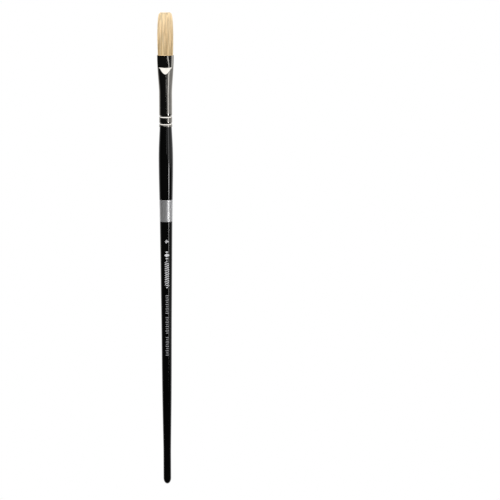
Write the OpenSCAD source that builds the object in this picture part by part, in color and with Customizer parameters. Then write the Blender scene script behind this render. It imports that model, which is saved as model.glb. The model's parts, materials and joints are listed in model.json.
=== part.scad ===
// Long-handled flat bristle paint brush, standing on its tail with the hair up.
// Millimetres, +Z up. The origin is the centre of the tail end, and the
// stamped front of the handle faces -Y. The ferrule is flattened across Y.

/* [Overall] */
// Length of the whole brush, from the tail to the tips of the hair
overall_len = 320; // [312:1:330]
// Length of hair standing out of the ferrule
hair_out = 29; // [29:0.5:30]

/* [Handle] */
// Diameter of the straight tail
tail_d = 5.2; // [4.8:0.1:5.6]
// Height of the rounded tip under the straight tail
tail_tip_h = 4; // [3:0.5:5]
// Height where the straight tail ends and the taper begins
tail_top = 22; // [18:1:26]
// Diameter a fifth of the way up the handle
shank_d = 6.45; // [6:0.05:6.7]
// Diameter a little above the middle of the tapered shaft
mid_d = 7.3; // [7:0.05:7.6]
// Diameter at the lower edge of the silver band
band_d = 8.55; // [8.2:0.05:8.9]
// Largest diameter, at the belly that the fingers hold
belly_d = 9.8; // [9.4:0.1:10.4]
// Diameter where the handle meets the ferrule
shoulder_d = 8.15; // [8:0.05:8.2]

/* [Lacquer] */
// Thickness of the lacquer and of the silver coat
coat_t = 0.15; // [0.1:0.05:0.25]
// Height of the silver band's lower edge
band_z = 179.1; // [172:0.1:183]
// Length of the silver band along the handle
band_len = 14.7; // [10:0.1:18]

/* [Ferrule] */
// Length of the ferrule
ferrule_len = 48; // [47.6:0.1:48.6]
// Outer diameter of its round part
ferrule_d = 8.8; // [8.75:0.05:8.9]
// Thickness of the sheet
ferrule_t = 0.3; // [0.25:0.05:0.35]
// Outer diameter of the flared lower rim
rim_d = 9; // [9:0.05:9.3]
// Width of the flattened mouth
mouth_w = 11.2; // [11:0.1:11.4]
// Thickness of the flattened mouth
mouth_t = 4.4; // [4.4:0.1:4.6]
// Depth of each crimp groove
crimp_depth = 0.4; // [0.2:0.05:0.45]
// Width of each crimp groove
crimp_w = 1.7; // [1.4:0.1:2]
// Height of the lower groove above the rim
crimp_low = 2.15; // [1.95:0.05:2.4]
// Distance between the two grooves
crimp_pitch = 4.9; // [4:0.1:6]

/* [Tuft] */
// Width of the hair at its widest
tuft_w = 10.6; // [10.2:0.1:10.8]
// Width of the hair at the square-cut toe
toe_w = 8.2; // [7.6:0.1:9]
// Thickness of the hair at the toe
toe_t = 1.6; // [1.2:0.1:2]
// Thickness of the hair at the heel, just above the ferrule
heel_t = 3.8; // [3.6:0.1:3.8]
// Clearance between one bending length of hair and the next
bend_gap = 0.25; // [0.2:0.05:0.35]

/* [Foil] */
// Height of the top of the stamped size number
number_z = 167.2; // [162:0.2:170]
// Thickness of the stamped foil
foil_t = 0.05; // [0.04:0.01:0.08]
// How far the stamps sit to the right of the front's centre line
foil_side = 0.4; // [0:0.1:0.6]

/* [Hidden] */
$fn = 96;
slack = 0.03;          // clearance between pieces that lie against each other

// heights that follow from the driving dimensions
mouth_z = overall_len - hair_out;
rim_z = mouth_z - ferrule_len;
shoulder_z = rim_z + 0.4;          // top of the lacquer, just inside the rim
belly_z = shoulder_z - 22;         // the fullest part of the handle
shank_z = 64;                      // where shank_d is measured
mid_z = 118;                       // where mid_d is measured
round_top = mouth_z - 25;          // the ferrule is round below this
facet_low = mouth_z - 12.6;        // lowest point of the half-moon facet
crease_z = mouth_z - 8.3;          // upper edge of the facet
tenon_top = rim_z + 15.4;
plug_z = [mouth_z - 20.5, mouth_z - 8.7];
roots_z = [mouth_z - 16.5, mouth_z + 0.15];

// the hinge lines that the hair bends about, with the radius of hair there
heel_r = heel_t / 2;
belly_r = heel_r - 0.05;
toe_r = heel_r - 0.4;
heel_hinge = roots_z[1] + bend_gap + heel_r;
belly_hinge = heel_hinge + 8.7;
toe_hinge = belly_hinge + 8.5;

function mix(a, b, t) = a + (b - a) * t;
function ramp(z, low, high) = min(1, max(0, (z - low) / (high - low)));
function smooth(t) = t * t * (3 - 2 * t);

// ---- handle profile: a smooth curve through [height, radius, slope] ----
stations = [
  [tail_top, tail_d / 2, 0.012],
  [shank_z, shank_d / 2, 0.0105],
  [mid_z, mid_d / 2, 0.0115],
  [band_z, band_d / 2, 0.011],
  [belly_z, belly_d / 2, 0],
  [shoulder_z, shoulder_d / 2, -0.05]
];

// the first ring of the taper, a little above the straight tail
taper_low = tail_top + 4;

function curve(a, b, t) =
  let (span = b[0] - a[0], t2 = t * t, t3 = t2 * t)
  a[1] * (2 * t3 - 3 * t2 + 1) + b[1] * (3 * t2 - 2 * t3)
  + span * (a[2] * (t3 - 2 * t2 + t) + b[2] * (t3 - t2));

function span_at(z, i = 0) =
  i >= len(stations) - 2 || z < stations[i + 1][0] ? i : span_at(z, i + 1);

// outer radius of the lacquered handle at a height above the tip
function handle_r(z) =
  z <= tail_top ? tail_d / 2
  : let (i = span_at(z), a = stations[i], b = stations[i + 1])
    curve(a, b, (z - a[0]) / (b[0] - a[0]));

// profile points [radius, height] from one height to another, sunk by inset
function handle_line(low, high, steps, inset = 0) =
  [for (i = [0 : steps])
    let (z = mix(low, high, i / steps))
    [handle_r(z) - inset, z]];

// the rounded tip, as a quarter of an ellipse from the axis outwards
function tip_line(inset = 0, steps = 9) =
  [for (i = [0 : steps - 1])
    let (angle = 90 * i / steps)
    [(tail_d / 2 - inset) * sin(angle),
     tail_tip_h - (tail_tip_h - inset) * cos(angle)]];

// from the end of the tip to the end of the straight tail
function tail_line(inset = 0) =
  [[tail_d / 2 - inset, tail_tip_h], [tail_d / 2 - inset, tail_top]];

function reversed(list) = [for (i = [len(list) - 1 : -1 : 0]) list[i]];

// a coat of lacquer between two heights of the handle
module coat(low, high, steps) {
  rotate_extrude()
    polygon(concat(handle_line(low, high, steps),
                   reversed(handle_line(low, high, steps, coat_t))));
}

// ---- ferrule: round below, pressed flat towards the mouth ----
function groove(z, middle) =
  abs(z - middle) >= crimp_w / 2 ? 0
  : crimp_depth * (1 + cos(360 * (z - middle) / crimp_w)) / 2;

// the lower rim flares out between these two heights above it
flare = (rim_d - ferrule_d) / 2;
flare_from = 0.9;
flare_to = 0.4;
function tube_r(z) =
  ferrule_d / 2 + flare * (1 - smooth(ramp(z, rim_z + flare_to, rim_z + flare_from)))
  - groove(z, rim_z + crimp_low) - groove(z, rim_z + crimp_low + crimp_pitch);

// heights that follow the flare and both grooves
crimp_steps = 10;
function groove_heights(middle) =
  [for (i = [0 : crimp_steps]) middle + crimp_w * (i / crimp_steps - 0.5)];
tube_heights = concat(
  [for (i = [0 : 4]) rim_z + mix(flare_to, flare_from, i / 4)],
  groove_heights(rim_z + crimp_low),
  groove_heights(rim_z + crimp_low + crimp_pitch));

function tube_line(inset, from, to) =
  concat([[tube_r(from) - inset, from]],
         [for (z = tube_heights) if (z > from && z < to) [tube_r(z) - inset, z]],
         [[tube_r(to) - inset, to]]);

// the flattened part at a height: half width, half thickness before it was
// pressed, and the half thickness that the press leaves
unpressed_t = 3.6;                 // half thickness the tube would have at the mouth
crease_t = mouth_t / 2 + 0.2;      // half thickness at the upper edge of the facet
lens_t = mouth_t / 2 + 0.4;        // half thickness of the mouth's ellipse, before the cut
function press(z) = ramp(z, round_top, mouth_z);
function half_w(z) =
  mix(ferrule_d / 2, mouth_w / 2, pow(smooth(press(z)), 0.7));
function tube_t(z) = mix(ferrule_d / 2, unpressed_t, smooth(press(z)));
function half_t(z) =
  z < crease_z ? tube_t(z) : mix(tube_t(crease_z), lens_t, ramp(z, crease_z, mouth_z));
function pressed(z) =
  z < facet_low ? half_t(z)
  : z < crease_z ? mix(half_t(facet_low), crease_t, ramp(z, facet_low, crease_z))
  : mix(crease_t, mouth_t / 2, ramp(z, crease_z, mouth_z));

// one closed ring of points: an ellipse cut off flat at plus and minus limit
ring_n = 48;
function ring(z, half_x, half_y, limit) =
  [for (i = [0 : ring_n - 1])
    let (angle = 360 * (i + 0.5) / ring_n)
    [half_x * cos(angle), max(-limit, min(limit, half_y * sin(angle))), z]];

function ferrule_ring(z, inset) =
  ring(z, half_w(z) - inset, half_t(z) - inset, pressed(z) - inset);

// faces of a skin over rings, where the last ring joins the first if closed
function skin(rings, closed) =
  [for (j = [0 : rings - (closed ? 1 : 2)]) for (i = [0 : ring_n - 1])
    let (next = (i + 1) % ring_n, a = j * ring_n, b = ((j + 1) % rings) * ring_n)
    for (face = [[a + i, b + i, b + next], [a + i, b + next, a + next]]) face];

// a solid through a list of rings, with flat ends
module loft(rings) {
  count = len(rings);
  polyhedron(
    points = [for (r = rings) each r],
    faces = concat(
      skin(count, false),
      [[for (i = [0 : ring_n - 1]) i]],
      [[for (i = [ring_n - 1 : -1 : 0]) (count - 1) * ring_n + i]]),
    convexity = 6);
}

// heights through the pressed part, close together at the facet
function press_heights(low, high) =
  [for (z = concat([low],
    [for (i = [1 : 4]) mix(round_top, facet_low, i / 5)],
    [for (i = [0 : 3]) mix(facet_low, crease_z, i / 3)],
    [for (i = [1 : 3]) mix(crease_z, mouth_z, i / 4)],
    [high])) if (z >= low && z <= high) z];

// ---- foil stamped round the front of the shaft ----
// A flat outline, wrapped as a thin skin on the lacquer. Outlines are drawn
// with x along the handle from the top of the stamp down, and y to the right.
module foil(top_z, length) {
  ends = [top_z - length - 1, top_z + 1];
  intersection() {
    rotate_extrude()
      polygon([[handle_r(ends[0]) + slack, ends[0]],
               [handle_r(ends[0]) + slack + foil_t, ends[0]],
               [handle_r(ends[1]) + slack + foil_t, ends[1]],
               [handle_r(ends[1]) + slack, ends[1]]]);
    translate([0, 0, top_z])
      rotate([90, 90, 0])
        linear_extrude(height = belly_d)
          translate([0, foil_side])
            children();
  }
}

// ---- the pieces ----

// Turned birch: the shaft, the belly, and the tenon that the ferrule grips
module handle_core() {
  glue_gap = ferrule_t + 0.08;
  tenon_r = ferrule_d / 2 - glue_gap;
  chamfer = 0.6;
  tenon_line = tube_line(glue_gap, shoulder_z + 0.01, tenon_top - chamfer);
  color("burlywood")
    rotate_extrude()
      polygon(concat(
        tip_line(coat_t + slack),
        tail_line(coat_t + slack),
        handle_line(taper_low, shoulder_z, 44, coat_t + slack),
        [for (p = tenon_line) [min(p[0], tenon_r), p[1]]],
        [[tenon_r - chamfer, tenon_top], [0, tenon_top]]));
}

// Black gloss lacquer on the tail and the long tapered shaft
module shaft_lacquer() {
  color("#141414")
    rotate_extrude()
      polygon(concat(
        tip_line(), tail_line(), handle_line(taper_low, band_z - slack, 30),
        reversed(handle_line(taper_low, band_z - slack, 30, coat_t)),
        reversed(tail_line(coat_t)), reversed(tip_line(coat_t))));
}

// Satin silver coat between the two black coats
module silver_band() {
  color("silver") coat(band_z, band_z + band_len, 4);
}

// Black gloss lacquer on the belly, up to the ferrule
module grip_lacquer() {
  color("#161616") coat(band_z + band_len + slack, shoulder_z, 16);
}

// The brush's size, a plain figure 4, reading down the handle
module size_number() {
  stroke = 0.45;
  wide = 2.5;
  high = 2.5;
  bar = 0.65;
  left = 1.35;
  right = left + stroke;
  color("silver")
    foil(number_z, wide)
      translate([0, -high / 2])
        difference() {
          polygon([[0, bar], [left - 0.1, high], [right, high], [right, bar + stroke],
                   [wide, bar + stroke], [wide, bar], [right, bar], [right, 0],
                   [left, 0], [left, bar]]);
          polygon([[0.62, bar + stroke], [left, 2], [left, bar + stroke]]);
        }
}

// A plain lozenge with a smaller one on each side
module foil_lozenge() {
  length = 6;
  below = 7.7;         // distance below the top of the number
  color("silver")
    foil(number_z - below, length)
      for (mark = [[0.8, 0.6, 1], [length / 2, 1.3, 1.9], [length - 0.8, 0.6, 1]])
        translate([mark[0], 0])
          polygon([[-mark[1], 0], [0, mark[2]], [mark[1], 0], [0, -mark[2]]]);
}

// A row of slanted strokes between two lozenges, like a twisted cord
module foil_twist() {
  length = 19;
  below = 14.1;        // distance below the top of the number
  strokes = 13;
  pitch = 1.25;
  lean = 0.75;
  half = 1.35;
  stroke = 0.5;
  start = (length - (strokes - 1) * pitch) / 2;
  color("silver")
    foil(number_z - below, length) {
      for (i = [0 : strokes - 1])
        translate([start + i * pitch, 0])
          polygon([[-lean, -half], [stroke - lean, -half], [lean, half], [lean - stroke, half]]);
      for (x = [0.55, length - 0.55])
        translate([x, 0]) polygon([[-0.5, 0], [0, 0.6], [0.5, 0], [0, -0.6]]);
    }
}

// Three groups of short ticks, like the divisions of a rule
module foil_ticks() {
  length = 42;
  below = 37.8;        // distance below the top of the number
  pitch = 1.5;
  tick_w = 0.62;
  groups = [[0, 9], [10, 8], [19, 9]];  // first place and number of ticks in each
  color("gray")
    foil(number_z - below, length)
      for (group = groups) for (i = [0 : group[1] - 1])
        let (tall = i % 2 == 0 ? 1.9 : 1.4)
        translate([(group[0] + i) * pitch, -tall / 2])
          square([tick_w, tall]);
}

// Glue between the tenon and the ferrule
module tenon_glue() {
  low = shoulder_z + 0.4;
  high = tenon_top - 0.7;
  function line(inset) =
    [for (p = tube_line(inset, low, high))
      [min(p[0], ferrule_d / 2 - inset), p[1]]];
  color("goldenrod")
    rotate_extrude()
      polygon(concat(line(ferrule_t + slack / 3), reversed(line(ferrule_t + 0.07))));
}

// Seamless nickel-plated tube, crimped onto the tenon and pressed flat above
module ferrule() {
  lap = 0.6;           // how far the round tube runs up inside the pressed wall
  grow = 0.02;         // how far the pressed wall stands proud of it there
  heights = press_heights(round_top, mouth_z);
  outer = [for (z = heights)
    ferrule_ring(z, z < round_top + 2 ? -grow : 0)];
  inner = [for (z = heights)
    ferrule_ring(z, z < round_top + 2 ? ferrule_t + grow : ferrule_t)];
  rings = concat(outer, reversed(inner));
  color("lightgray") {
    rotate_extrude()
      polygon(concat(tube_line(0, rim_z, round_top + lap),
                     reversed(tube_line(ferrule_t, rim_z, round_top + lap))));
    polyhedron(points = [for (r = rings) each r],
               faces = skin(len(rings), true), convexity = 6);
  }
}

// the hair inside the ferrule: bound round at the root, flat at the mouth
bound_x = 4.1;
bound_y = 2.7;
bound_top = facet_low - 0.2;
function roots_ring(z, grow = 0) =
  let (t = ramp(z, bound_top, crease_z + 0.3), u = ramp(z, crease_z, mouth_z))
  ring(z,
       mix(mix(bound_x, 4.72, t), mouth_w / 2 - 0.42, u) + grow,
       mix(mix(bound_y, 2.5, t), mouth_t / 2 - 0.34, u) + grow,
       mix(mix(bound_y, 1.9, t), mouth_t / 2 - 0.36, u) + grow);
roots_heights = concat([roots_z[0], bound_top],
  [for (i = [1 : 4]) mix(bound_top, crease_z + 0.3, i / 4)],
  [roots_z[1]]);

// the thread's four turns lie side by side round the bound root
thread_d = 0.36;
thread_turns = 4;
thread_low = roots_z[0] + 1;
thread_high = thread_low + thread_turns * thread_d * 1.06;

// Resin that holds the roots of the hair in the ferrule
module resin_plug() {
  sleeve = thread_d + 2 * slack;
  color("peru")
    difference() {
      loft([for (z = press_heights(plug_z[0], plug_z[1]))
        ferrule_ring(z, ferrule_t + slack)]);
      loft([for (z = roots_heights) roots_ring(z, slack)]);
      loft([for (z = [thread_low - thread_d / 2 - slack, thread_high + thread_d / 2 + slack])
        [for (p = roots_ring(thread_low, sleeve)) [p[0], p[1], z]]]);
    }
}

// Waxed thread wound round the roots before the hair went into the ferrule
module binding_thread() {
  sides = 6;
  around = 32;
  steps = around * thread_turns;
  radius = thread_d / 2;
  function centre(i) =
    let (angle = 360 * i / around)
    [(bound_x + radius + slack) * cos(angle), (bound_y + radius + slack) * sin(angle),
     mix(thread_low, thread_high, i / steps)];
  function outward(i) = [cos(360 * i / around), sin(360 * i / around), 0];
  color("ivory")
    polyhedron(
      points = [for (i = [0 : steps]) for (k = [0 : sides - 1])
        centre(i) + radius * cos(360 * k / sides) * outward(i)
        + [0, 0, radius * sin(360 * k / sides)]],
      faces = concat(
        [for (i = [0 : steps - 1]) for (k = [0 : sides - 1])
          let (a = i * sides, b = a + sides, next = (k + 1) % sides)
          for (face = [[a + k, a + next, b + next], [a + k, b + next, b + k]]) face],
        [[for (k = [sides - 1 : -1 : 0]) k]],
        [[for (k = [0 : sides - 1]) steps * sides + k]]),
      convexity = 8);
}

// The roots of the hair, inside the ferrule
module bristle_roots() {
  color("tan") loft([for (z = roots_heights) roots_ring(z)]);
}

// a bending length of hair: a round bar along the hinge line, hulled with
// a flat plate that has rounded ends
module hinge_bar(z, r, width) {
  translate([0, 0, z])
    rotate([0, 90, 0]) {
      cylinder(r = r, h = width - 1.6, center = true, $fn = 32);
      cylinder(r = r - 0.5, h = width, center = true, $fn = 32);
    }
}

module hair_plate(z, width, thick) {
  for (side = [-1, 1])
    translate([side * (width - thick) / 2, 0, z - 0.2])
      cylinder(d = thick, h = 0.2, $fn = 32);
}

// The hair just above the ferrule
module bristle_heel() {
  top = belly_hinge - belly_r - bend_gap;
  color("wheat")
    hull() {
      hinge_bar(heel_hinge, heel_r, tuft_w - 0.5);
      hair_plate(top, tuft_w, heel_t);
    }
}

// The middle of the hair, where it is fullest
module bristle_belly() {
  top = toe_hinge - toe_r - bend_gap;
  color("wheat")
    hull() {
      hinge_bar(belly_hinge, belly_r, tuft_w);
      hair_plate(top, tuft_w - 0.1, heel_t - 0.7);
    }
}

// The last third of the hair, thinning to a square toe with soft corners
module bristle_toe() {
  corner = 1.6;
  color("cornsilk")
    hull() {
      hinge_bar(toe_hinge, toe_r, tuft_w - 0.1);
      for (side = [-1, 1])
        translate([side * (toe_w / 2 - corner / 2), 0, overall_len - corner])
          rotate([90, 0, 0])
            cylinder(r = corner, h = toe_t, center = true, $fn = 32);
    }
}

handle_core();
shaft_lacquer();
silver_band();
grip_lacquer();
size_number();
foil_lozenge();
foil_twist();
foil_ticks();
tenon_glue();
ferrule();
resin_plug();
binding_thread();
bristle_roots();
bristle_heel();
bristle_belly();
bristle_toe();
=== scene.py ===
"""A long-handled flat bristle paint brush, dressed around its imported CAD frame.

Metres throughout, +Z up, the stamped front of the handle facing -Y. Sizes written in
millimetres carry the factor MM.
"""

import json
import math
import random

import bpy
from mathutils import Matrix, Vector


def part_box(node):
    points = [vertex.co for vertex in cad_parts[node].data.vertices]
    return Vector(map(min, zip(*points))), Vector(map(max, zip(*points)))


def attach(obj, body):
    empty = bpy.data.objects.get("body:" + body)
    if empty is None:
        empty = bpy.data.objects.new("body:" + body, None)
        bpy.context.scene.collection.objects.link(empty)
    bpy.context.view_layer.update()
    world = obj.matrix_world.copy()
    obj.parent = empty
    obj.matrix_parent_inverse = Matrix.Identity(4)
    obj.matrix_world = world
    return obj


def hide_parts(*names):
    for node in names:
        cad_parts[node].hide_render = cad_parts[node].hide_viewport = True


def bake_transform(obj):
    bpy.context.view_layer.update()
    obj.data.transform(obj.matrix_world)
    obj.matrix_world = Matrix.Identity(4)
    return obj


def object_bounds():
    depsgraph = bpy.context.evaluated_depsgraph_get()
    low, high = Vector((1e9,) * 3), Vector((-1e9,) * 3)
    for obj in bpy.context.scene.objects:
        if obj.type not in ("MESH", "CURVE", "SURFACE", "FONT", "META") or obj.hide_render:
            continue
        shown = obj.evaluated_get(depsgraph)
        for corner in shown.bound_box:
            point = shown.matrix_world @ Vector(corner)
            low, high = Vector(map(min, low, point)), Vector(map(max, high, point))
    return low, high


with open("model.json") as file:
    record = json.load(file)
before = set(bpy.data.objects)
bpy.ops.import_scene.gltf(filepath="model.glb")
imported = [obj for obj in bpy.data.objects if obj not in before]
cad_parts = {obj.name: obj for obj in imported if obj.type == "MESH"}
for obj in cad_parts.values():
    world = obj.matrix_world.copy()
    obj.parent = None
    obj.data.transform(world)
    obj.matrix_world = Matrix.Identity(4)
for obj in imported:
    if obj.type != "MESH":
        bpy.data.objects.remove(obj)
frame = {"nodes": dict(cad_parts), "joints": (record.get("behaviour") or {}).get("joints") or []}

MM = 0.001
CAD_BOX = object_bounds()
NODES = frame["nodes"]

# ---------------------------------------------------------------- driving sizes
FERRULE_LOW, FERRULE_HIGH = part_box("ferrule")
RIM_Z = FERRULE_LOW.z
MOUTH_Z = FERRULE_HIGH.z
TOE_Z = CAD_BOX[1].z

# The ferrule's round part, with its flared rim and two crimps
TUBE_R = 4.4 * MM
RIM_R = 4.5 * MM
SHEET_T = 0.3 * MM
FLARE_LOW, FLARE_HIGH = RIM_Z + 0.4 * MM, RIM_Z + 0.9 * MM
CRIMP_DEPTH = 0.4 * MM
CRIMP_W = 1.7 * MM
CRIMP_HEIGHTS = (RIM_Z + 2.15 * MM, RIM_Z + 7.05 * MM)

# Its pressed part: a slanting facet up to a crease, and a flat mouth above
MOUTH_HALF_W = FERRULE_HIGH.x
MOUTH_HALF_T = 2.2 * MM
CREASE_HALF_T = 2.4 * MM
UNPRESSED_HALF_T = 3.6 * MM
ROUND_TOP = MOUTH_Z - 25 * MM
FACET_LOW = MOUTH_Z - 12.6 * MM
CREASE_Z = MOUTH_Z - 8.3 * MM

# The coats on the handle
COAT_T = 0.15 * MM
COAT_EASE = 0.03 * MM
TAIL_TIP_H = 4 * MM


# ---------------------------------------------------------------- curves
def mix(a, b, t):
    return a + (b - a) * t


def ramp(z, low, high):
    return min(1.0, max(0.0, (z - low) / (high - low)))


def smooth(t):
    return t * t * (3 - 2 * t)


def hermite(a, b, rise_a, rise_b, t):
    """A smooth curve from a to b over t = 0 to 1, with the given slopes at its ends."""
    t2, t3 = t * t, t * t * t
    held = a * (2 * t3 - 3 * t2 + 1) + b * (3 * t2 - 2 * t3)
    return held + rise_a * (t3 - 2 * t2 + t) + rise_b * (t3 - t2)


def soft_min(a, b, width):
    """The smaller of a and b, rounded off over a width where they cross."""
    share = min(1.0, max(0.0, 0.5 + 0.5 * (b - a) / width))
    return mix(b, a, share) - width * share * (1 - share)


def between_stops(stops, i, t):
    """The value at a share t of the way from stop i to the next, on a smooth curve.

    Stops are (position, value), and the curve passes through them all.
    """
    before, a = stops[max(0, i - 1)], stops[i]
    b, after = stops[i + 1], stops[min(len(stops) - 1, i + 2)]
    span = b[0] - a[0]
    slope_a = (b[1] - before[1]) / (b[0] - before[0])
    slope_b = (after[1] - a[1]) / (after[0] - a[0])
    return hermite(a[1], b[1], span * slope_a, span * slope_b, t)


def eased(stops, position):
    """The value at a position on the smooth curve through (position, value) stops."""
    last = len(stops) - 1
    i = next((i for i in range(last) if position <= stops[i + 1][0]), last - 1)
    return between_stops(stops, i, ramp(position, stops[i][0], stops[i + 1][0]))


# ---------------------------------------------------------------- work by hand
DOUBLES = 0.001 * MM
SEAM_DOUBLES = 0.002 * MM


def pick_none():
    bpy.ops.object.select_all(action="DESELECT")


def pick(piece):
    pick_none()
    piece.select_set(True)
    bpy.context.view_layer.objects.active = piece


def edit(piece):
    pick(piece)
    bpy.ops.object.mode_set(mode="EDIT")
    bpy.ops.mesh.select_all(action="SELECT")


def leave_edit():
    bpy.ops.object.mode_set(mode="OBJECT")


def named(name):
    piece = bpy.context.active_object
    piece.name = name
    piece.data.name = name
    return piece


def modify(piece, kind, **settings):
    """Adds a modifier, sets it and applies it."""
    pick(piece)
    modifier = piece.modifiers.new(kind.lower(), kind)
    for key, value in settings.items():
        setattr(modifier, key, value)
    bpy.ops.object.modifier_apply(modifier=modifier.name)


def settle(piece, angle=35):
    """Puts the piece's place into its mesh and shades it smooth, with sharp edges kept."""
    pick(piece)
    bpy.ops.object.transform_apply(location=True, rotation=True, scale=True)
    bpy.ops.object.shade_smooth_by_angle(angle=math.radians(angle))


def dress(piece, finish):
    piece.data.materials.clear()
    piece.data.materials.append(finish)


def turned(name, outline, sides=128):
    """A closed solid turned about Z, from a closed outline of (radius, height) points."""
    pick_none()
    bpy.ops.mesh.primitive_plane_add(size=MM)
    piece = named(name)
    edit(piece)
    bpy.ops.mesh.merge(type="CENTER")
    radius, height = outline[0]
    bpy.ops.transform.translate(value=(radius, 0, height))
    for (r0, z0), (r1, z1) in zip(outline, outline[1:] + outline[:1]):
        bpy.ops.mesh.extrude_vertices_move(
            TRANSFORM_OT_translate={"value": (r1 - r0, 0, z1 - z0)}
        )
    bpy.ops.mesh.select_all(action="SELECT")
    bpy.ops.mesh.remove_doubles(threshold=DOUBLES)
    bpy.ops.mesh.spin(steps=sides, angle=math.tau, center=(0, 0, 0), axis=(0, 0, 1))
    bpy.ops.mesh.select_all(action="SELECT")
    bpy.ops.mesh.remove_doubles(threshold=SEAM_DOUBLES)
    bpy.ops.mesh.normals_make_consistent(inside=False)
    leave_edit()
    settle(piece)
    return piece


# ---------------------------------------------------------------- shader nodes
# Numbers of a Mix node's colour sockets
MIX_FACTOR, MIX_A, MIX_B, MIX_RESULT = 0, 6, 7, 2


def material(name, **settings):
    """A Principled material, its node tree and its shader, with the shader's sockets set."""
    made = bpy.data.materials.new(name)
    made.use_nodes = True
    shader = made.node_tree.nodes["Principled BSDF"]
    for key, value in settings.items():
        socket = shader.inputs[key.replace("_", " ").title().replace("Ior", "IOR")]
        socket.default_value = value
    return made, made.node_tree, shader


def node(tree, kind, **settings):
    """A node, with its own settings or its input sockets set by name."""
    made = tree.nodes.new(kind)
    for key, value in settings.items():
        if hasattr(made, key):
            setattr(made, key, value)
        else:
            made.inputs[key.replace("_", " ").title()].default_value = value
    return made


def feed(shader, socket, value):
    shader.id_data.links.new(value, shader.inputs[socket])


def bump(shader, height, strength, distance):
    tree = shader.id_data
    made = node(tree, "ShaderNodeBump")
    made.inputs["Strength"].default_value = strength
    made.inputs["Distance"].default_value = distance
    tree.links.new(height, made.inputs["Height"])
    feed(shader, "Normal", made.outputs["Normal"])


def noise(tree, scale, stretch=(1, 1, 1), detail=3.0, distortion=0.0, place=None):
    """Noise on Object coordinates, or on another place. Scale is in features per metre."""
    if place is None:
        place = node(tree, "ShaderNodeTexCoord").outputs["Object"]
    mapping = node(tree, "ShaderNodeMapping")
    mapping.inputs["Scale"].default_value = stretch
    made = node(tree, "ShaderNodeTexNoise", scale=scale, detail=detail, distortion=distortion)
    tree.links.new(place, mapping.inputs["Vector"])
    tree.links.new(mapping.outputs["Vector"], made.inputs["Vector"])
    return made.outputs["Fac"]


def ramped(tree, value, stops):
    """A colour ramp over value. Stops are (position, (r, g, b)) or (position, grey)."""
    made = node(tree, "ShaderNodeValToRGB")
    points = made.color_ramp.elements
    while len(points) < len(stops):
        points.new(0.5)
    for point, (position, colour) in zip(points, stops):
        point.position = position
        rgb = (colour,) * 3 if isinstance(colour, (int, float)) else colour
        point.color = (*rgb, 1)
    tree.links.new(value, made.inputs["Fac"])
    return made.outputs["Color"]


def blended(tree, a, b, factor, mode="MIX"):
    """Two colours blended. Each of a, b and factor is a socket or a fixed value."""
    made = node(tree, "ShaderNodeMix", data_type="RGBA", blend_type=mode)
    for number, value in ((MIX_A, a), (MIX_B, b), (MIX_FACTOR, factor)):
        if isinstance(value, bpy.types.NodeSocket):
            tree.links.new(value, made.inputs[number])
        else:
            made.inputs[number].default_value = value
    return made.outputs[MIX_RESULT]


# ---------------------------------------------------------------- finishes
def black_lacquer():
    """Deep black gloss lacquer over turned wood, with the faint ripple of dipping."""
    made, tree, shader = material(
        "black_lacquer", ior=1.55, coat_weight=1.0, coat_roughness=0.05
    )
    tone = noise(tree, scale=90, stretch=(1, 1, 0.25))
    haze = noise(tree, scale=420, stretch=(1, 1, 0.4), detail=5)
    ripple = noise(tree, scale=240, stretch=(1, 1, 0.3), detail=2)
    feed(shader, "Base Color", ramped(tree, tone, [(0.3, 0.0006), (0.7, 0.0014)]))
    feed(shader, "Roughness", ramped(tree, haze, [(0.35, 0.06), (0.75, 0.13)]))
    bump(shader, ripple, strength=0.12, distance=0.02 * MM)
    return made


def silver_coat():
    """Satin silver paint: fine metal flake in a clear binder."""
    made, tree, shader = material("silver_coat", metallic=0.9)
    flake = noise(tree, scale=9000, detail=1)
    cloud = noise(tree, scale=300, stretch=(1, 1, 0.5))
    flakes = ramped(tree, flake, [(0.35, (0.72, 0.72, 0.73)), (0.65, (0.93, 0.93, 0.94))])
    clouds = ramped(tree, cloud, [(0.3, (0.9, 0.9, 0.9)), (0.7, (1, 1, 1))])
    feed(shader, "Base Color", blended(tree, flakes, clouds, 1.0, "MULTIPLY"))
    feed(shader, "Roughness", ramped(tree, flake, [(0.3, 0.34), (0.7, 0.42)]))
    bump(shader, flake, strength=0.12, distance=0.01 * MM)
    return made


def foil(name, dark, light):
    """Hot-stamped foil, worn a little thin here and there."""
    made, tree, shader = material(name, metallic=0.5)
    wear = noise(tree, scale=2600, detail=4)
    feed(shader, "Base Color", ramped(tree, wear, [(0.34, dark), (0.5, light)]))
    feed(shader, "Roughness", ramped(tree, wear, [(0.3, 0.45), (0.6, 0.3)]))
    bump(shader, wear, strength=0.2, distance=0.01 * MM)
    return made


def nickel_plate():
    """Polished nickel, with drawing lines along the tube and faint handling marks."""
    made, tree, shader = material("nickel_plate", metallic=1.0)
    lines = noise(tree, scale=3000, stretch=(1, 1, 0.02), detail=2)
    marks = noise(tree, scale=700, stretch=(1, 1, 0.6), detail=5)
    tint = ramped(tree, marks, [(0.3, (0.59, 0.56, 0.51)), (0.7, (0.67, 0.645, 0.60))])
    polish = blended(
        tree,
        ramped(tree, lines, [(0.3, 0.05), (0.7, 0.1)]),
        ramped(tree, marks, [(0.45, 0.05), (0.8, 0.16)]),
        0.5,
    )
    feed(shader, "Base Color", tint)
    feed(shader, "Roughness", polish)
    bump(shader, lines, strength=0.06, distance=0.004 * MM)
    return made


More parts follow.
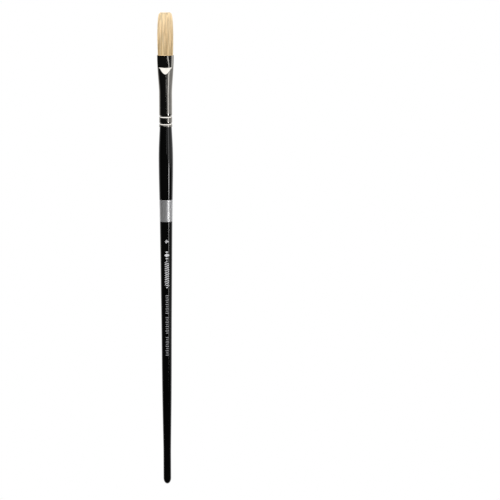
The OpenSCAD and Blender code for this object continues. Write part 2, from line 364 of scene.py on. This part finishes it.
# Colours of single hairs, from the darkest to the palest: (share, colour)
HAIR_TONES = [
    (0.0, (0.38, 0.22, 0.09)),
    (0.14, (0.58, 0.39, 0.19)),
    (0.45, (0.76, 0.57, 0.33)),
    (0.8, (0.85, 0.68, 0.43)),
    (1.0, (0.92, 0.78, 0.54)),
]
# Painted shade: the hair's colour is darkened towards the heel, near the ferrule's mouth, where
# shade falls in the packed tuft
PAINTED_HEEL_SHADE = [(0.0, (0.64, 0.615, 0.55)), (0.6, (1, 1, 1)), (1, (1, 1, 1))]
TIP_COLOUR = (0.99, 0.84, 0.56, 1)


def hog_bristle():
    """Bleached hog hair: each strand has its own tone, and all pale towards the tips.

    Its patterns sit on the hair's straight shape, so they stay put when the tuft bends.
    """
    made, tree, shader = material("hog_bristle", roughness=0.42, ior=1.45)
    tone = node(tree, "ShaderNodeAttribute", attribute_name="strand_tone").outputs["Fac"]
    along = node(tree, "ShaderNodeAttribute", attribute_name="strand_along").outputs["Fac"]
    rest = node(tree, "ShaderNodeAttribute", attribute_name="strand_rest").outputs["Vector"]
    strand = ramped(tree, tone, HAIR_TONES)
    # Painted shade: each strand's colour is darkened towards the heel
    base = blended(tree, strand, ramped(tree, along, PAINTED_HEEL_SHADE), 1.0, "MULTIPLY")
    paleness = ramped(tree, along, [(0.55, 0), (1, 0.45)])
    pale = blended(tree, base, TIP_COLOUR, paleness)
    streaks = noise(tree, scale=1300, stretch=(1, 1, 0.07), place=rest)
    streak = ramped(tree, streaks, [(0.36, 0.68), (0.64, 1.0)])
    scales = noise(tree, scale=9000, stretch=(1, 1, 0.3), detail=2, place=rest)
    feed(shader, "Base Color", blended(tree, pale, streak, 1.0, "MULTIPLY"))
    bump(shader, scales, strength=0.25, distance=0.01 * MM)
    return made


def bound_roots():
    """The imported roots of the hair, inside the ferrule."""
    made, tree, shader = material("bound_roots", roughness=0.5)
    strands = noise(tree, scale=9000, stretch=(1, 1, 0.03), detail=2)
    feed(shader, "Base Color", ramped(tree, strands, HAIR_TONES))
    bump(shader, strands, strength=0.6, distance=0.03 * MM)
    return made


def birch_wood():
    """Turned birch with its grain along the handle."""
    made, tree, shader = material("birch_wood", roughness=0.6)
    grain = noise(tree, scale=900, stretch=(1, 1, 0.04), detail=6, distortion=0.6)
    colours = [(0.25, (0.48, 0.31, 0.16)), (0.5, (0.70, 0.52, 0.31)), (0.8, (0.82, 0.66, 0.43))]
    feed(shader, "Base Color", ramped(tree, grain, colours))
    bump(shader, grain, strength=0.3, distance=0.03 * MM)
    return made


def cast(name, dark, light, rough):
    """Set glue or resin: glossy, cloudy, with small bubbles."""
    made, tree, shader = material(name, roughness=rough, coat_weight=0.4)
    cloud = noise(tree, scale=1500, detail=4)
    feed(shader, "Base Color", ramped(tree, cloud, [(0.3, dark), (0.7, light)]))
    bump(shader, cloud, strength=0.3, distance=0.02 * MM)
    return made


def waxed_thread():
    """Waxed cotton thread with a tight twist."""
    made, tree, shader = material("waxed_thread", roughness=0.75)
    twist = noise(tree, scale=4000, stretch=(1, 1, 3), detail=3)
    colours = [(0.3, (0.62, 0.56, 0.44)), (0.7, (0.86, 0.81, 0.70))]
    feed(shader, "Base Color", ramped(tree, twist, colours))
    bump(shader, twist, strength=0.5, distance=0.03 * MM)
    return made


LACQUER = black_lacquer()
SILVER = silver_coat()
BRIGHT_FOIL = foil("silver_foil", dark=(0.5, 0.5, 0.52), light=(0.88, 0.88, 0.9))
GREY_FOIL = foil("grey_foil", dark=(0.2, 0.2, 0.21), light=(0.36, 0.36, 0.37))
NICKEL = nickel_plate()
BRISTLE = hog_bristle()
ROOTS = bound_roots()
WOOD = birch_wood()
GLUE = cast("glue", dark=(0.42, 0.27, 0.09), light=(0.72, 0.52, 0.24), rough=0.3)
RESIN = cast("resin", dark=(0.28, 0.15, 0.05), light=(0.52, 0.33, 0.14), rough=0.22)
THREAD = waxed_thread()

# What each carried-over CAD node is made of
CARRIED_OVER = {
    "handle_core": WOOD,
    "size_number": BRIGHT_FOIL,
    "foil_lozenge": BRIGHT_FOIL,
    "foil_twist": BRIGHT_FOIL,
    "foil_ticks": GREY_FOIL,
    "tenon_glue": GLUE,
    "resin_plug": RESIN,
    "binding_thread": THREAD,
    "bristle_roots": ROOTS,
}


# ---------------------------------------------------------------- handle coats
RINGS_PER_SPAN = 3
TIP_STEPS = 20


def coat_rings(name):
    """(height, outer radius) of each ring of a turned CAD coat, from the bottom up."""
    widest = {}
    for vertex in NODES[name].data.vertices:
        height = round(vertex.co.z, 6)
        radius = math.hypot(vertex.co.x, vertex.co.y)
        widest[height] = max(widest.get(height, 0.0), radius)
    return sorted(widest.items())


def curve_through(rings):
    """More rings, on a smooth curve through the given ones."""
    made = []
    for i in range(len(rings) - 1):
        low, high = rings[i][0], rings[i + 1][0]
        for k in range(RINGS_PER_SPAN):
            t = k / RINGS_PER_SPAN
            made.append((low + (high - low) * t, between_stops(rings, i, t)))
    made.append(rings[-1])
    return made


def inner_wall(outer):
    """The coat's inner side, followed back down from its outer side."""
    return [(radius - COAT_T, height) for radius, height in reversed(outer)]


def eased_top(radius, height):
    """The coat's upper edge, with its corner cut off."""
    return [
        (radius, height - COAT_EASE),
        (radius - COAT_EASE, height),
        (radius - COAT_T, height),
    ]


def coat(name, cad_name, finish):
    """A band of the handle's coat, with its cut edges eased."""
    rings = curve_through(coat_rings(cad_name))
    (low, low_r), (high, high_r) = rings[0], rings[-1]
    outer = [(radius, height) for height, radius in rings[1:-1]]
    outline = [(low_r - COAT_T, low), (low_r - COAT_EASE, low), (low_r, low + COAT_EASE)]
    outline += outer + eased_top(high_r, high) + inner_wall(outer)
    piece = turned(name, outline)
    dress(piece, finish)
    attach(piece, "handle")
    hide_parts(cad_name)
    return piece


def shaft_coat():
    """The long black coat, closed round the rounded tip of the tail."""
    rings = coat_rings("shaft_lacquer")
    tail_r = max(radius for height, radius in rings if height < 2 * TAIL_TIP_H)
    tip = []
    inner_tip = []
    for i in range(TIP_STEPS):
        angle = math.pi / 2 * i / TIP_STEPS
        sine, cosine = math.sin(angle), math.cos(angle)
        tip.append((tail_r * sine, TAIL_TIP_H * (1 - cosine)))
        inner_tip.append(
            ((tail_r - COAT_T) * sine, TAIL_TIP_H - (TAIL_TIP_H - COAT_T) * cosine)
        )
    above = [ring for ring in rings if ring[0] > TAIL_TIP_H - 0.01 * MM]
    shaft = [(radius, height) for height, radius in above[:1] + curve_through(above[1:])]
    outer = shaft[:-1]
    outline = tip + outer + eased_top(*shaft[-1]) + inner_wall(outer) + inner_tip[::-1]
    piece = turned("shaft_coat", outline)
    dress(piece, LACQUER)
    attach(piece, "handle")
    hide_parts("shaft_lacquer")


# ---------------------------------------------------------------- ferrule
FERRULE_SIDES = 176
WIDENING = 0.7
# Powers of the superellipses that the cross-section passes through
ROUND, SQUEEZED, PRESSED = 2, 1.8, 3.4
SQUEEZE_RUN = 7 * MM
FACET_EASE = 0.12 * MM
CREASE_EASE = 0.25 * MM
# How much the flat face falls away from its middle ridge, and how soft that ridge is
RIDGE_AT_CREASE, RIDGE_AT_MOUTH = 0.13, 0.26
RIDGE_R = 0.1


def groove(z, middle):
    if abs(z - middle) >= CRIMP_W / 2:
        return 0.0
    return CRIMP_DEPTH * (1 + math.cos(math.tau * (z - middle) / CRIMP_W)) / 2


def tube_radius(z):
    flare = (RIM_R - TUBE_R) * (1 - smooth(ramp(z, FLARE_LOW, FLARE_HIGH)))
    return TUBE_R + flare - sum(groove(z, middle) for middle in CRIMP_HEIGHTS)


def half_width(z):
    pressed = smooth(ramp(z, ROUND_TOP, MOUTH_Z))
    return tube_radius(z) + (MOUTH_HALF_W - TUBE_R) * pressed**WIDENING


def half_thickness(z):
    """Half thickness before the press came down on the tube."""
    return tube_radius(z) - (TUBE_R - UNPRESSED_HALF_T) * smooth(ramp(z, ROUND_TOP, MOUTH_Z))


def rounded(share, power):
    """Height of a superellipse of half height 1 at a share of its half width."""
    return max(0.0, 1 - min(1.0, share) ** power) ** (1 / power)


def facet_limit(z):
    """Half thickness of the slanting facet, which meets the tube at its lowest point."""
    rise = (half_thickness(FACET_LOW) - CREASE_HALF_T) / (CREASE_Z - FACET_LOW)
    return CREASE_HALF_T + rise * (CREASE_Z - z)


def wall_depth(share, z):
    """How far the ferrule's face stands from its middle plane, at a share of its half width."""
    squeeze = smooth(ramp(z, FACET_LOW - SQUEEZE_RUN, FACET_LOW))
    tube = half_thickness(z) * rounded(share, mix(ROUND, SQUEEZED, squeeze))
    below = soft_min(tube, facet_limit(z), FACET_EASE)
    up = ramp(z, CREASE_Z, MOUTH_Z)
    fall = mix(RIDGE_AT_CREASE, RIDGE_AT_MOUTH, smooth(up))
    ridge = fall * (math.hypot(share, RIDGE_R) - RIDGE_R)
    flat = mix(CREASE_HALF_T, MOUTH_HALF_T, up) * rounded(share, PRESSED) * (1 - ridge)
    return mix(below, flat, smooth(ramp(z, CREASE_Z - CREASE_EASE, CREASE_Z + CREASE_EASE)))


def ferrule_heights():
    """Heights of the rings: close together at the rim, the crimps, the facet and the crease."""
    first_crimp, second_crimp = CRIMP_HEIGHTS
    # (top of the span, rings in it)
    spans = [
        (FLARE_LOW, 2),
        (FLARE_HIGH, 8),
        (first_crimp - CRIMP_W / 2, 1),
        (first_crimp + CRIMP_W / 2, 16),
        (second_crimp - CRIMP_W / 2, 6),
        (second_crimp + CRIMP_W / 2, 16),
        (ROUND_TOP, 10),
        (FACET_LOW - 1 * MM, 14),
        (CREASE_Z - 0.3 * MM, 34),
        (CREASE_Z + 0.3 * MM, 12),
        (MOUTH_Z, 16),
    ]
    made = [RIM_Z]
    low = RIM_Z
    for high, rings in spans:
        made += [mix(low, high, (i + 1) / rings) for i in range(rings)]
        low = high
    return made


def drawn_tube(name):
    """The ferrule's outer skin: a ring drawn up from the rim and sized at each height."""
    heights = ferrule_heights()
    pick_none()
    bpy.ops.mesh.primitive_circle_add(
        vertices=FERRULE_SIDES, radius=RIM_R, location=(0, 0, 0)
    )
    piece = named(name)
    edit(piece)
    bpy.ops.transform.translate(value=(0, 0, RIM_Z))
    across, deep = RIM_R, RIM_R
    for low, high in zip(heights, heights[1:]):
        bpy.ops.mesh.extrude_region_move(TRANSFORM_OT_translate={"value": (0, 0, high - low)})
        wide, thick = half_width(high), half_thickness(high)
        bpy.ops.transform.resize(
            value=(wide / across, thick / deep, 1), center_override=(0, 0, high)
        )
        across, deep = wide, thick
    leave_edit()
    return piece


def press_flat(piece):
    """Presses the tube's two faces into shape above its round part."""
    for vertex in piece.data.vertices:
        z = vertex.co.z
        if z > ROUND_TOP:
            share = abs(vertex.co.x) / half_width(z)
            vertex.co.y = math.copysign(wall_depth(share, z), vertex.co.y)


def make_ferrule():
    """One drawn and pressed tube of thin sheet, with eased edges at the rim and mouth."""
    piece = drawn_tube("nickel_ferrule")
    press_flat(piece)
    edit(piece)
    bpy.ops.mesh.remove_doubles(threshold=DOUBLES)
    bpy.ops.mesh.normals_make_consistent(inside=False)
    leave_edit()
    modify(piece, "SOLIDIFY", thickness=SHEET_T, offset=-1, use_even_offset=True)
    modify(
        piece,
        "BEVEL",
        width=0.09 * MM,
        segments=3,
        limit_method="ANGLE",
        angle_limit=math.radians(50),
    )
    settle(piece, angle=50)
    dress(piece, NICKEL)
    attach(piece, "handle")
    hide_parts("ferrule")


# ---------------------------------------------------------------- tuft of bristles
def hinge_height(name):
    return next(j["pos_m"][2] for j in frame["joints"] if j["name"] == name)


HAIR = random.Random(4)
ROOT_Z = MOUTH_Z - 0.6 * MM
# The tuft's three meshes meet a little below the two upper hinges
HEEL_JOIN = hinge_height("belly_bend") - 4.3 * MM
TOE_JOIN = hinge_height("toe_bend") - 4.1 * MM
# Half width and half thickness of the tuft: (share of the way up, size)
TUFT_HALF_W = [
    (0.0, 5.05 * MM),
    (0.38, 5.28 * MM),
    (0.62, 5.2 * MM),
    (0.82, 4.88 * MM),
    (0.94, 4.4 * MM),
    (1.0, 4.0 * MM),
]
TUFT_HALF_T = [(0.0, 1.82 * MM), (0.25, 1.86 * MM), (0.75, 1.3 * MM), (1.0, 0.75 * MM)]
ROWS, COLUMNS = 17, 52
MOUTH_ROUNDING = 2.4
STRAND_R_MM = (0.085, 0.108)
# How far strands stray at their tips, in millimetres
SWAY_MM = 0.08
LEAN_X_MM, LEAN_Y_MM = 0.14, 0.05
EARLY_SHARE = 0.1
# A strand's thickness at its tip, and how its last stretch comes to a point
TAPER = 0.58
POINT_LEN = 1.1 * MM
BLUNT = 0.18
SHORTEST = 0.3 * MM
WISPS = 420
WISP_R = 0.045 * MM


def along_hair(z):
    return ramp(z, MOUTH_Z, TOE_Z)


def root_places(rows, columns):
    """Places of the strands in the flattened mouth, as shares of its half width and depth."""
    places = []
    for row in range(rows):
        v = (row + 0.5) / rows * 2 - 1
        for column in range(columns):
            shift = 0.25 if row % 2 else -0.25
            u = (column + 0.5 + shift) / columns * 2 - 1
            u += HAIR.uniform(-0.35, 0.35) / columns
            w = v + HAIR.uniform(-0.3, 0.3) / rows
            if abs(u) ** MOUTH_ROUNDING + abs(w) ** MOUTH_ROUNDING < 1:
                places.append((u, w))
    return places


def tip_height(u, v):
    """Where a strand ends: a square toe with soft corners, shorter on the outer faces."""
    corner = 1.5 * MM * abs(u) ** 12
    face = 1.3 * MM * abs(v) ** 2.5
    ragged = 0.3 * MM * abs(HAIR.gauss(0, 1))
    early = HAIR.uniform(1, 5) * MM if HAIR.random() < EARLY_SHARE else 0
    return TOE_Z - 0.05 * MM - corner - face - ragged - early


def sway():
    """A slow wave along a strand: how far it swings, its turns and where it starts."""
    return HAIR.gauss(0, SWAY_MM) * MM, HAIR.uniform(0.5, 2.0), HAIR.uniform(0, math.tau)


def swung(wave, t):
    reach, turns, start = wave
    return reach * math.sin(math.tau * turns * t + start)


class Strand:
    """One bristle, from its place (u, v) in the ferrule's mouth to its tip."""

    def __init__(self, u, v, thick):
        self.u, self.v, self.thick = u, v, thick
        self.tip = tip_height(u, v)
        self.low, self.high = ROOT_Z, self.tip
        self.sway_x, self.sway_y = sway(), sway()
        self.lean_x = HAIR.gauss(0, LEAN_X_MM) * MM
        self.lean_y = HAIR.gauss(0, LEAN_Y_MM) * MM
        self.tone = HAIR.betavariate(1.9, 1.4)

    def place(self, z):
        """Where the strand is at a height. It stays within the tuft's width."""
        t = along_hair(z)
        loose = t * (2 - t)
        half_w = eased(TUFT_HALF_W, t)
        x = self.u * half_w + loose * (self.lean_x + swung(self.sway_x, t))
        y = self.v * eased(TUFT_HALF_T, t) + loose * (
            self.lean_y + 0.6 * swung(self.sway_y, t)
        )
        return max(-half_w, min(half_w, x)), y, z

    def radius(self, z):
        """It tapers slowly all the way up, and quickly to its point."""
        point = min(1.0, max(0.0, (self.tip - z) / POINT_LEN))
        return self.thick * mix(1.0, TAPER, ramp(z, MOUTH_Z, self.tip)) * max(BLUNT, point**0.6)


def wisp():
    """A fine tip that shows only near the toe, paler than most strands."""
    u, v = HAIR.uniform(-0.97, 0.97), HAIR.uniform(-1, 1)
    made = Strand(u, v, WISP_R)
    made.low = TOE_Z - HAIR.uniform(6, 9) * MM
    made.high = max(made.tip, made.low + 2 * MM)
    made.tone = HAIR.uniform(0.6, 1.0)
    return made


def strand_lines(name, strands, low, high, steps):
    """The strands' lines between two heights, as round tubes that are open at both ends."""
    curve = bpy.data.curves.new(name, "CURVE")
    curve.dimensions = "3D"
    curve.bevel_depth = 1.0
    curve.bevel_resolution = 1
    for strand in strands:
        start, end = max(low, strand.low), min(high, strand.high)
        line = curve.splines.new("POLY")
        line.points.add(steps)
        for i, point in enumerate(line.points):
            z = mix(start, end, i / steps)
            point.co = (*strand.place(z), 1)
            point.radius = strand.radius(z)
    return curve


def write_attribute(piece, name, kind, field, values):
    piece.data.attributes.new(name, kind, "POINT").data.foreach_set(field, values)


def tuft_piece(name, strands, low, high, steps):
    """The stretch of every strand between two heights, as one mesh of closed tubes."""
    shown = [strand for strand in strands if strand.high > low + SHORTEST]
    holder = bpy.data.objects.new(name, strand_lines(name, shown, low, high, steps))
    bpy.context.scene.collection.objects.link(holder)
    pick(holder)
    bpy.ops.object.convert(target="MESH")
    piece = named(name)
    points = [vertex.co.copy() for vertex in piece.data.vertices]
    each = len(points) // len(shown)
    tones = [strand.tone for strand in shown for _ in range(each)]
    write_attribute(piece, "strand_tone", "FLOAT", "value", tones)
    write_attribute(piece, "strand_along", "FLOAT", "value", [along_hair(p.z) for p in points])
    write_attribute(piece, "strand_rest", "FLOAT_VECTOR", "vector", [c for p in points for c in p])
    edit(piece)
    bpy.ops.mesh.fill_holes(sides=0)
    bpy.ops.mesh.normals_make_consistent(inside=False)
    leave_edit()
    settle(piece, angle=60)
    dress(piece, BRISTLE)
    return piece


def make_tuft():
    """Three lengths of hair, split a little below the two upper hinges."""
    places = root_places(ROWS, COLUMNS)
    strands = [Strand(u, v, HAIR.uniform(*STRAND_R_MM) * MM) for u, v in places]
    wisps = [wisp() for _ in range(WISPS)]
    heel = tuft_piece("bristles_heel", strands, ROOT_Z, HEEL_JOIN, steps=6)
    belly = tuft_piece("bristles_belly", strands, HEEL_JOIN, TOE_JOIN, steps=6)
    toe = tuft_piece("bristles_toe", strands + wisps, TOE_JOIN, TOE_Z, steps=8)
    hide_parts("bristle_heel")
    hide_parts("bristle_belly")
    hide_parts("bristle_toe")
    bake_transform(heel)
    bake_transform(belly)
    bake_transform(toe)


# ---------------------------------------------------------------- studio
# Brightness of the room round the brush: (azimuth in degrees, level), where azimuth 0 is
# the camera's side and 90 is its right.
ROOM_LEVELS = [
    (-180, 1.0),
    (-150, 0.9),
    (-128, 0.35),
    (-110, 0.08),
    (-88, 0.006),
    (92, 0.01),
    (103, 0.24),
    (130, 0.54),
    (150, 0.9),
    (180, 1.0),
]
# Brightness of its ceiling: (sine of the elevation, level)
CEILING_LEVELS = [(0.36, 0.0), (0.46, 1.6), (1.0, 1.6)]
FLOOR_R = 30
FLOOR_GAP = 0.5 * MM


def pale_floor():
    """A plain white floor under the tail, lit evenly from within and seen by the camera only."""
    pick_none()
    bpy.ops.mesh.primitive_circle_add(vertices=64, radius=FLOOR_R, fill_type="NGON")
    floor = named("floor")
    floor.location.z = CAD_BOX[0].z - FLOOR_GAP
    made, _, shader = material(
        "floor", roughness=0.9, emission_strength=1.0, base_color=(0, 0, 0, 1)
    )
    shader.inputs["Emission Color"].default_value = (1, 1, 1, 1)
    shader.inputs["Specular IOR Level"].default_value = 0.0
    dress(floor, made)
    floor.visible_glossy = False
    floor.visible_diffuse = False
    floor.visible_shadow = False


def softbox(name, azimuth, middle_z, distance, width, height, radiance, elevation=0):
    """An area light facing the brush. Azimuth 0 is the camera's side, and 90 its right."""
    turn, rise = math.radians(azimuth), math.radians(elevation)
    away = Vector(
        (math.sin(turn) * math.cos(rise), -math.cos(turn) * math.cos(rise), math.sin(rise))
    )
    light = bpy.data.lights.new(name, "AREA")
    light.shape = "RECTANGLE"
    light.size, light.size_y = width, height
    light.energy = radiance * math.pi * width * height
    lamp = bpy.data.objects.new(name, light)
    lamp.location = Vector((0, 0, middle_z)) + away * distance
    lamp.rotation_euler = (-away).to_track_quat("-Z", "Y").to_euler()
    lamp.visible_camera = False
    bpy.context.scene.collection.objects.link(lamp)
    return lamp


def shine_only_on(lamp, piece):
    """Keeps a lamp's light off everything but one piece."""
    lit = bpy.data.collections.new(lamp.name + "_target")
    lit.objects.link(piece)
    lamp.light_linking.receiver_collection = lit


def studio_lights(band):
    """Strips for the long highlights, small boxes for the glints and a soft light in front."""
    softbox("right_strip", 49, middle_z=0.4, distance=1.28, width=0.2, height=0.89, radiance=1.1)
    softbox(
        "shaft_strip", 49, middle_z=-0.0975, distance=1.28, width=0.2, height=0.105, radiance=2.2
    )
    softbox("right_panel", 64, middle_z=0.405, distance=1.3, width=1.9, height=0.79, radiance=0.27)
    softbox(
        "belly_glint", 49, middle_z=-0.006, distance=1.26, width=0.2, height=0.066, radiance=6.0
    )
    softbox(
        "press_glint", 12.6, middle_z=0.25, distance=1.3, width=0.06, height=0.31, radiance=0.9
    )
    fill = softbox(
        "front_fill",
        -10,
        middle_z=0.3,
        distance=1.3,
        width=0.9,
        height=0.9,
        radiance=10.6,
        elevation=24,
    )
    fill.visible_glossy = False
    band_glint = softbox(
        "band_glint", 44, middle_z=0.0, distance=1.2, width=0.5, height=0.5, radiance=1.6
    )
    shine_only_on(band_glint, band)


def studio_world():
    """White to the camera. To the brush, a room that is dark in front and pale behind and above."""
    world = bpy.data.worlds.new("studio")
    bpy.context.scene.world = world
    world.use_nodes = True
    tree = world.node_tree
    background = tree.nodes["Background"]
    place = node(tree, "ShaderNodeTexCoord")
    split = node(tree, "ShaderNodeSeparateXYZ")
    tree.links.new(place.outputs["Generated"], split.inputs["Vector"])
    front = node(tree, "ShaderNodeMath", operation="MULTIPLY")
    front.inputs[1].default_value = -1
    tree.links.new(split.outputs["Y"], front.inputs[0])
    turn = node(tree, "ShaderNodeMath", operation="ARCTAN2")
    tree.links.new(split.outputs["X"], turn.inputs[0])
    tree.links.new(front.outputs[0], turn.inputs[1])
    share = node(tree, "ShaderNodeMapRange")
    share.inputs["From Min"].default_value = -math.pi
    share.inputs["From Max"].default_value = math.pi
    tree.links.new(turn.outputs[0], share.inputs["Value"])
    levels = [(0.5 + azimuth / 360, level) for azimuth, level in ROOM_LEVELS]
    room = ramped(tree, share.outputs["Result"], levels)
    ceiling = ramped(tree, split.outputs["Z"], CEILING_LEVELS)
    lit = blended(tree, room, ceiling, 1.0, "ADD")
    path = node(tree, "ShaderNodeLightPath")
    seen = blended(tree, lit, (1, 1, 1, 1), path.outputs["Is Camera Ray"])
    tree.links.new(seen, background.inputs["Color"])


def studio_camera():
    """A long lens a little above the brush, which stands left of the picture's middle."""
    lens_mm = 400
    sensor_mm = 36
    elevation = math.radians(9)
    frame_h = 335.1 * MM
    aside = 56.1 * MM
    lift = -0.6 * MM
    roll = math.radians(-0.13)
    distance = frame_h * lens_mm / sensor_mm
    middle = (CAD_BOX[0] + CAD_BOX[1]) / 2
    data = bpy.data.cameras.new("camera")
    data.lens, data.sensor_width = lens_mm, sensor_mm
    data.clip_start, data.clip_end = 0.05, 100
    camera = bpy.data.objects.new("camera", data)
    bpy.context.scene.collection.objects.link(camera)
    back = Vector((0, -math.cos(elevation), math.sin(elevation)))
    up = Vector((0, math.sin(elevation), math.cos(elevation)))
    camera.location = middle + back * distance + up * lift + Vector((aside, 0, 0))
    camera.rotation_euler = (math.pi / 2 - elevation, 0, 0)
    camera.rotation_euler.rotate_axis("Z", roll)
    bpy.context.scene.camera = camera


# ---------------------------------------------------------------- build
shaft_coat()
silver_band = coat("band_coat", "silver_band", SILVER)
coat("grip_coat", "grip_lacquer", LACQUER)
make_ferrule()
make_tuft()
for cad_name, finish in CARRIED_OVER.items():
    dress(NODES[cad_name], finish)
pale_floor()
studio_world()
studio_lights(silver_band)
studio_camera()
bpy.context.scene.view_settings.view_transform = "Standard"
